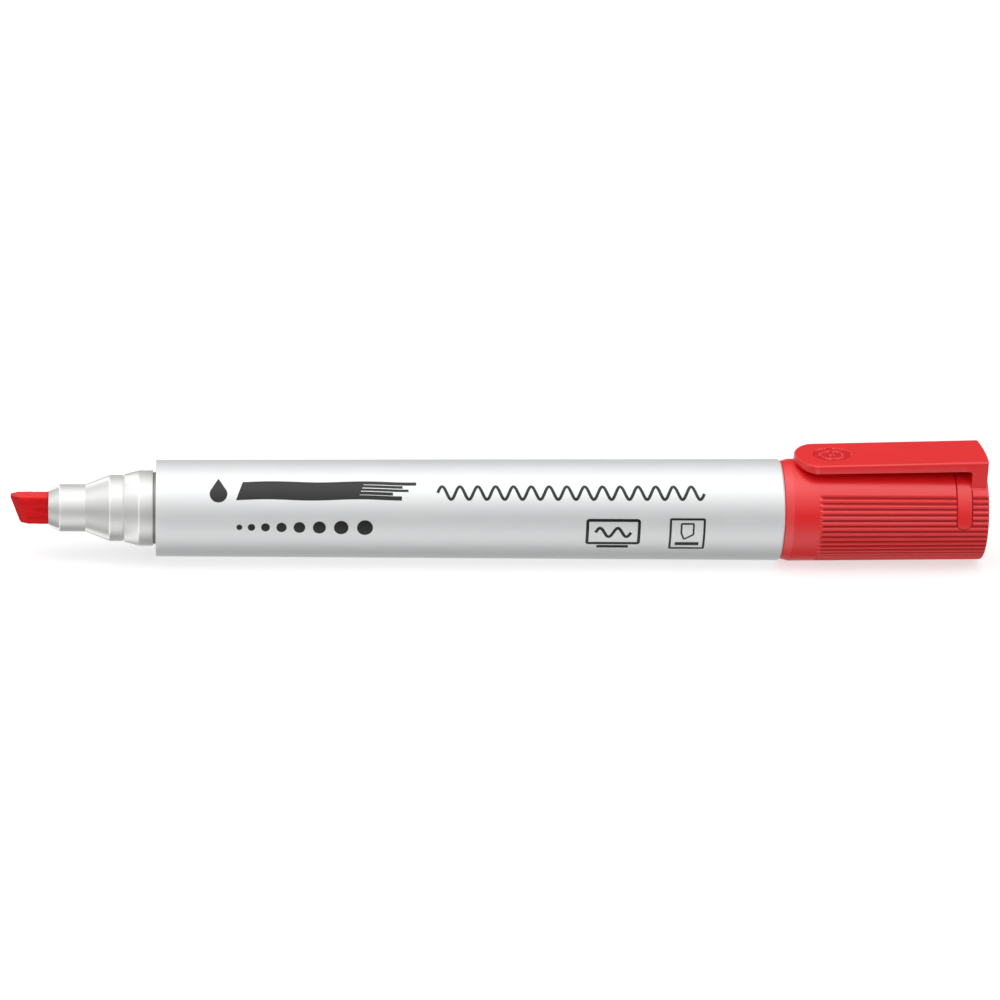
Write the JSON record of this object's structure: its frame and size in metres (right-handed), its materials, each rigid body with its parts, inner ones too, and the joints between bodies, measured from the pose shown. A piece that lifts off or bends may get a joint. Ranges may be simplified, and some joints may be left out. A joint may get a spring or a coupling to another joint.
{
  "type": "whiteboard marker",
  "caption": "Chisel-tip whiteboard marker with a tapered round barrel, stepped nib holder and a ribbed clip cap posted on its rear end.",
  "frame": {"origin": "on the marker's axis, in the plane of the barrel's front shoulder, which is where the cap's mouth seats when the marker is closed", "axes": "+X along the axis from the nib to the posted cap's end, +Z towards the pocket clip, +Y across the clip"},
  "size_m": [0.1513, 0.016, 0.0178],
  "materials": {
    "barrel_plastic": "satin moulded polypropylene, silver-white",
    "holder_plastic": "satin moulded polypropylene, pale grey",
    "nib_felt": "bonded polyester fibre soaked with red ink",
    "reservoir_fibre": "bundled polyester fibre soaked with red ink",
    "clear_film": "thin clear wrap film",
    "natural_plastic": "natural polypropylene",
    "plug_plastic": "moulded polypropylene in the ink colour",
    "cap_plastic": "semi-gloss moulded polypropylene in the ink colour"
  },
  "bodies": {
    "marker": {"barrel": "barrel_plastic", "nib_holder": "holder_plastic", "nib": "nib_felt", "reservoir_fibre": "reservoir_fibre", "reservoir_film": "clear_film", "breather_tube": "natural_plastic", "end_plug": "plug_plastic"},
    "cap_liner": {"cap_inner": "natural_plastic"},
    "cap": {"cap_shell": "cap_plastic"},
    "clip": {"clip_arm": "cap_plastic"}
  },
  "joints": [
    {"name": "cap_slide", "type": "slide", "parent": "marker", "child": "cap_liner", "axis": [1, 0, 0], "range_m": [0, 0.025]},
    {"name": "cap_twist", "type": "hinge", "parent": "cap_liner", "child": "cap", "pos_m": [0.097, 0, 0], "axis": [1, 0, 0], "continuous": true},
    {"name": "clip_flex", "type": "hinge", "parent": "cap", "child": "clip", "pos_m": [0.1262, 0, 0.00976], "axis": [0, 1, 0], "range_deg": [0, 6], "stiffness_Nm_per_rad": 0.09}
  ]
}
